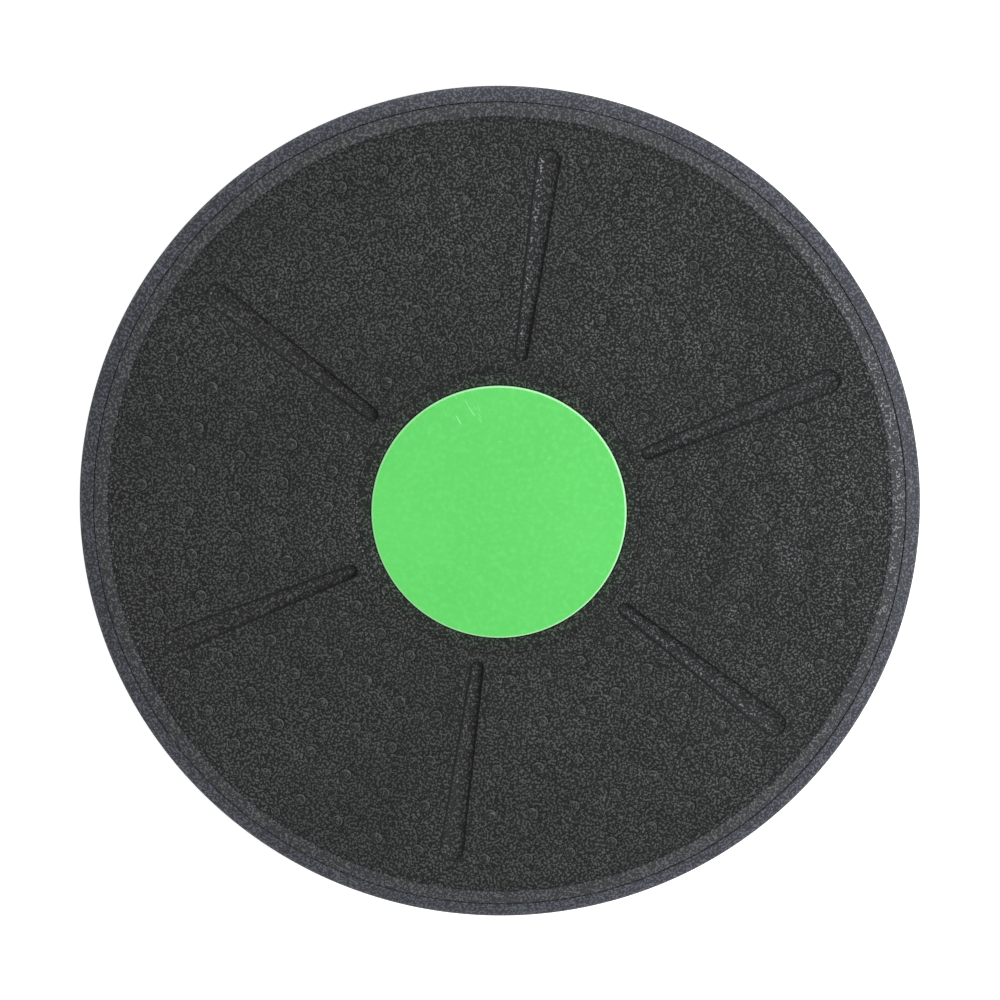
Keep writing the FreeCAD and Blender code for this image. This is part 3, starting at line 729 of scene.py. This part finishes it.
KEPT = {
    "flanged_bush": bush_plastic,
    "upper_race": race_steel,
    "lower_race": race_steel,
    "bearing_balls": ball_steel,
    "ball_cage": cage_plastic,
    "retainer_plate": hub_plastic,
    "retainer_washers": zinc_steel,
    "retainer_screws": zinc_steel,
}
for node, material in KEPT.items():
    dress(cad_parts[node], material)

NEW = [
    (make_deck(), "deck", "turntable", "deck_plastic", deck_plastic),
    (make_rim(), "rim_ring", "turntable", "rim_plastic", rim_plastic),
    (make_housing(), "bearing_housing", "turntable", "deck_plastic", hub_plastic),
    (make_cover(), "cover_disc", "rocker", "green_plastic", cover_green),
    (make_dome(), "rocker_dome", "rocker", "green_plastic", dome_green),
    (make_hub(), "hub_carrier", "rocker", "hub_plastic", hub_plastic),
]
for piece, node, body, slot, material in NEW:
    dress(piece, material)
    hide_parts(node)
    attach(piece, body)

# ---------------------------------------------------------------- floor, light and camera


def make_floor():
    """A pale floor that is clear from below, so that the board's underside can be seen."""
    reach, level = 14.0, -0.0001
    corners = [(x * reach, y * reach, level) for x, y in ((-1, -1), (1, -1), (1, 1), (-1, 1))]
    floor = bpy.data.meshes.new("floor")
    floor.from_pydata(corners, [], [(0, 1, 2, 3)])
    made = bpy.data.objects.new("floor", floor)
    bpy.context.scene.collection.objects.link(made)
    look = Look("pale_floor")
    look.finish(Base_Color=(0.86, 0.86, 0.86, 1), Roughness=0.9)
    look.finish(Emission_Color=(1, 1, 1, 1), Emission_Strength=0.62)
    back = look.node("ShaderNodeNewGeometry").outputs["Backfacing"]
    clear = look.node("ShaderNodeBsdfTransparent").outputs[0]
    shown = look.fill(look.node("ShaderNodeMixShader"), {0: back, 1: look.shader.outputs[0], 2: clear})
    look.link(shown.outputs[0], look.tree.nodes["Material Output"].inputs["Surface"])
    dress(made, look.material)


def make_world():
    """A plain white studio, dimmer as a light than it looks."""
    light_strength, shown_strength = 0.6, 1.0
    world = bpy.data.worlds.new("studio")
    world.use_nodes = True
    tree = world.node_tree
    background = tree.nodes["Background"]
    background.inputs["Color"].default_value = (1, 1, 1, 1)
    path = tree.nodes.new("ShaderNodeLightPath")
    strength = tree.nodes.new("ShaderNodeMapRange")
    strength.inputs["To Min"].default_value = light_strength
    strength.inputs["To Max"].default_value = shown_strength
    tree.links.new(path.outputs["Is Camera Ray"], strength.inputs["Value"])
    tree.links.new(strength.outputs["Result"], background.inputs["Strength"])
    bpy.context.scene.world = world


def make_light(name, place, size, power):
    """A round lamp, placed in metres, that points at the foot of the turning axis."""
    lamp = bpy.data.lights.new(name, "AREA")
    lamp.shape = "DISK"
    lamp.size = size
    lamp.energy = power
    lamp.color = (0.93, 0.96, 1.0)
    made = bpy.data.objects.new(name, lamp)
    made.location = place
    made.rotation_euler = (-Vector(place)).to_track_quat("-Z", "Y").to_euler()
    bpy.context.scene.collection.objects.link(made)


def make_camera():
    """Looks down from above the board's back edge, nine degrees off the vertical."""
    tilt, roll, lean = math.radians(9.031), math.radians(-0.733), math.radians(7.9)
    from_deck = Vector((0.482, 5.453, 1169.8))
    turn = Matrix.Rotation(tilt, 3, "X") @ Matrix.Rotation(roll, 3, "Y")
    axes = Matrix.Rotation(lean, 3, "Z") @ turn.transposed()
    place = axes @ from_deck + Vector((0, 0, DECK_TOP))
    lens = bpy.data.cameras.new("camera")
    lens.lens = 98.8
    lens.clip_end = 60
    made = bpy.data.objects.new("camera", lens)
    made.matrix_world = Matrix.Translation(place * MM) @ axes.to_4x4()
    bpy.context.scene.collection.objects.link(made)
    bpy.context.scene.camera = made


make_floor()
make_world()
make_light("key", place=(0.77, 0.09, 1.05), size=0.4, power=11.5)
make_light("fill", place=(-0.25, 1.3, 0.3), size=0.5, power=6)
make_camera()
bpy.context.scene.view_settings.view_transform = "Standard"
